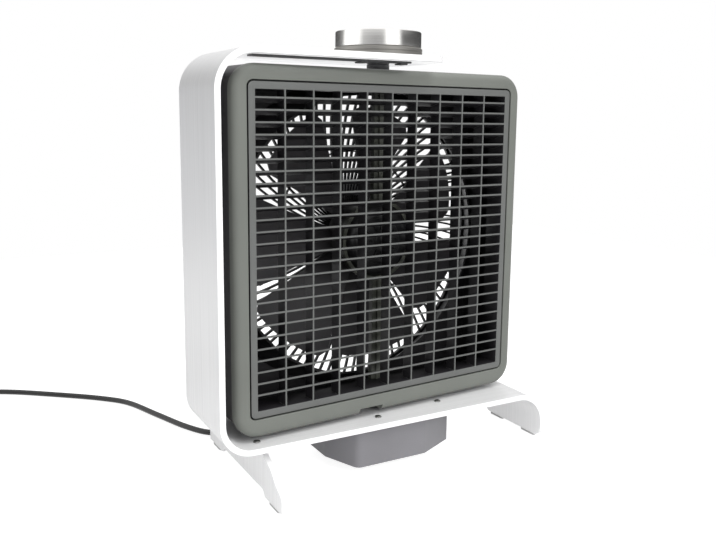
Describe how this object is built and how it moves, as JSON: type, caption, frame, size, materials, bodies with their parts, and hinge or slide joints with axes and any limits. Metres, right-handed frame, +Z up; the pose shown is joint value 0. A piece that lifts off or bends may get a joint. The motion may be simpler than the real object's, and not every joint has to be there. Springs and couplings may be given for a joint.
{
  "type": "box fan",
  "caption": "Square desk or floor fan that swivels in a stand bent from aluminium plate, with slatted grille, round top knob, base drive housing, mains cord and plug.",
  "frame": {"origin": "on the floor under the middle of the stand footprint", "axes": "+Z up, the fan blows towards -Y, the free end of the top plate points to +X"},
  "size_m": [0.7319, 0.5304, 0.4696],
  "materials": {
    "brushed_aluminium": "brushed, clear anodised, bright cut edges",
    "turned_aluminium": "turned, fine concentric lines",
    "bezel_plastic": "satin greenish grey",
    "grille_plastic": "satin grey",
    "dark_plastic": "satin charcoal",
    "motor_metal": "semi-gloss charcoal paint",
    "housing_plastic": "fine-textured mid grey",
    "black_plastic": "semi-gloss black",
    "steel": "plain zinc-plated",
    "brass": "bright",
    "rubber": "matt black",
    "cord_pvc": "glossy black PVC",
    "gear_nylon": "natural nylon"
  },
  "bodies": {
    "stand": {"c_frame": "brushed_aluminium", "left_foot": "brushed_aluminium", "foot_pad_left_front": "rubber", "foot_pad_left_rear": "rubber", "foot_pad_right_front": "rubber", "foot_pad_right_rear": "rubber", "left_foot_screw_front": "steel", "left_foot_screw_rear": "steel", "housing_screw_front_left": "steel", "housing_screw_front_right": "steel", "housing_screw_rear_left": "steel", "housing_screw_rear_right": "steel", "upper_bush": "black_plastic", "lower_bush": "black_plastic", "wire_channel": "black_plastic", "channel_clip_1": "black_plastic", "channel_clip_2": "black_plastic", "knob_base": "turned_aluminium", "rotary_switch": "black_plastic", "base_housing": "housing_plastic", "oscillation_motor": "steel", "run_capacitor": "black_plastic", "strain_relief": "rubber", "power_cord": "cord_pvc", "cord_coil": "cord_pvc", "plug_body": "black_plastic", "plug_pin_1": "brass", "plug_pin_2": "brass"},
    "fan_head": {"front_bezel": "bezel_plastic", "rear_shell": "dark_plastic", "front_grille": "grille_plastic", "rear_grille": "dark_plastic", "shell_screw_1": "steel", "shell_screw_2": "steel", "shell_screw_3": "steel", "shell_screw_4": "steel", "motor_strut": "dark_plastic", "motor_housing": "motor_metal", "top_collar": "black_plastic", "lower_collar": "black_plastic", "upper_pivot": "steel", "lower_pivot": "steel", "swivel_gear": "gear_nylon"},
    "rotor": {"fan_blades": "dark_plastic", "rotor_shaft": "steel", "blade_nut": "steel"},
    "knob": {"control_knob": "turned_aluminium", "switch_spindle": "steel"},
    "pinion": {"drive_pinion": "gear_nylon"}
  },
  "joints": [
    {"name": "fan_swivel", "type": "hinge", "parent": "stand", "child": "fan_head", "pos_m": [-0.004, -0.02, 0.249], "axis": [0, 0, 1], "range_deg": [-49, 41]},
    {"name": "blade_spin", "type": "hinge", "parent": "fan_head", "child": "rotor", "pos_m": [-0.004, -0.02, 0.249], "axis": [-0.071, 0.9975, 0], "continuous": true},
    {"name": "knob_turn", "type": "hinge", "parent": "stand", "child": "knob", "pos_m": [-0.004, -0.02, 0.459], "axis": [0, 0, 1], "range_deg": [-135, 0]},
    {"name": "pinion_turn", "type": "hinge", "parent": "stand", "child": "pinion", "pos_m": [0.0235, -0.02, 0.046], "axis": [0, 0, 1], "range_deg": [-135, 135]}
  ],
  "couplings": [
    {"joint": "pinion_turn", "follows": "fan_swivel", "ratio": -2.6667}
  ]
}
